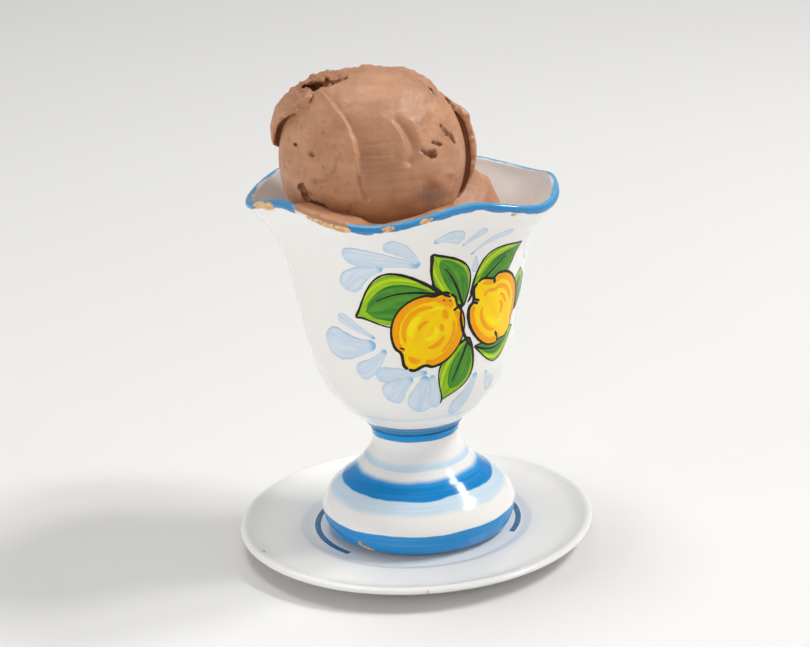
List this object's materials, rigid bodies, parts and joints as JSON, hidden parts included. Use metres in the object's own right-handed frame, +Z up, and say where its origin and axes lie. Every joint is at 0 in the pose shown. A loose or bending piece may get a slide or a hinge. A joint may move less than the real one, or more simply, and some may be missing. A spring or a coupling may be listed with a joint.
{
  "type": "gelato cup",
  "caption": "Footed ceramic gelato cup with a lobed rim, filled with scooped chocolate gelato, standing on a small round saucer.",
  "frame": {"origin": "on the table, below the centre of the saucer", "axes": "+Z up, -Y towards the viewer in front of the painted side, +X to that viewer's right"},
  "size_m": [0.12, 0.12, 0.1637],
  "materials": {
    "saucer_glaze": "glossy white glaze with a printed blue ring and small chips",
    "cup_glaze": "glossy white tin glaze with hand-painted blue bands, lemons and leaves",
    "gelato": "dense creamy chocolate gelato, satin"
  },
  "bodies": {
    "root": {"saucer": "saucer_glaze", "cup": "cup_glaze", "gelato_upper_scoop": "gelato", "gelato_side_scoop": "gelato", "gelato_fill": "gelato"}
  },
  "joints": []
}
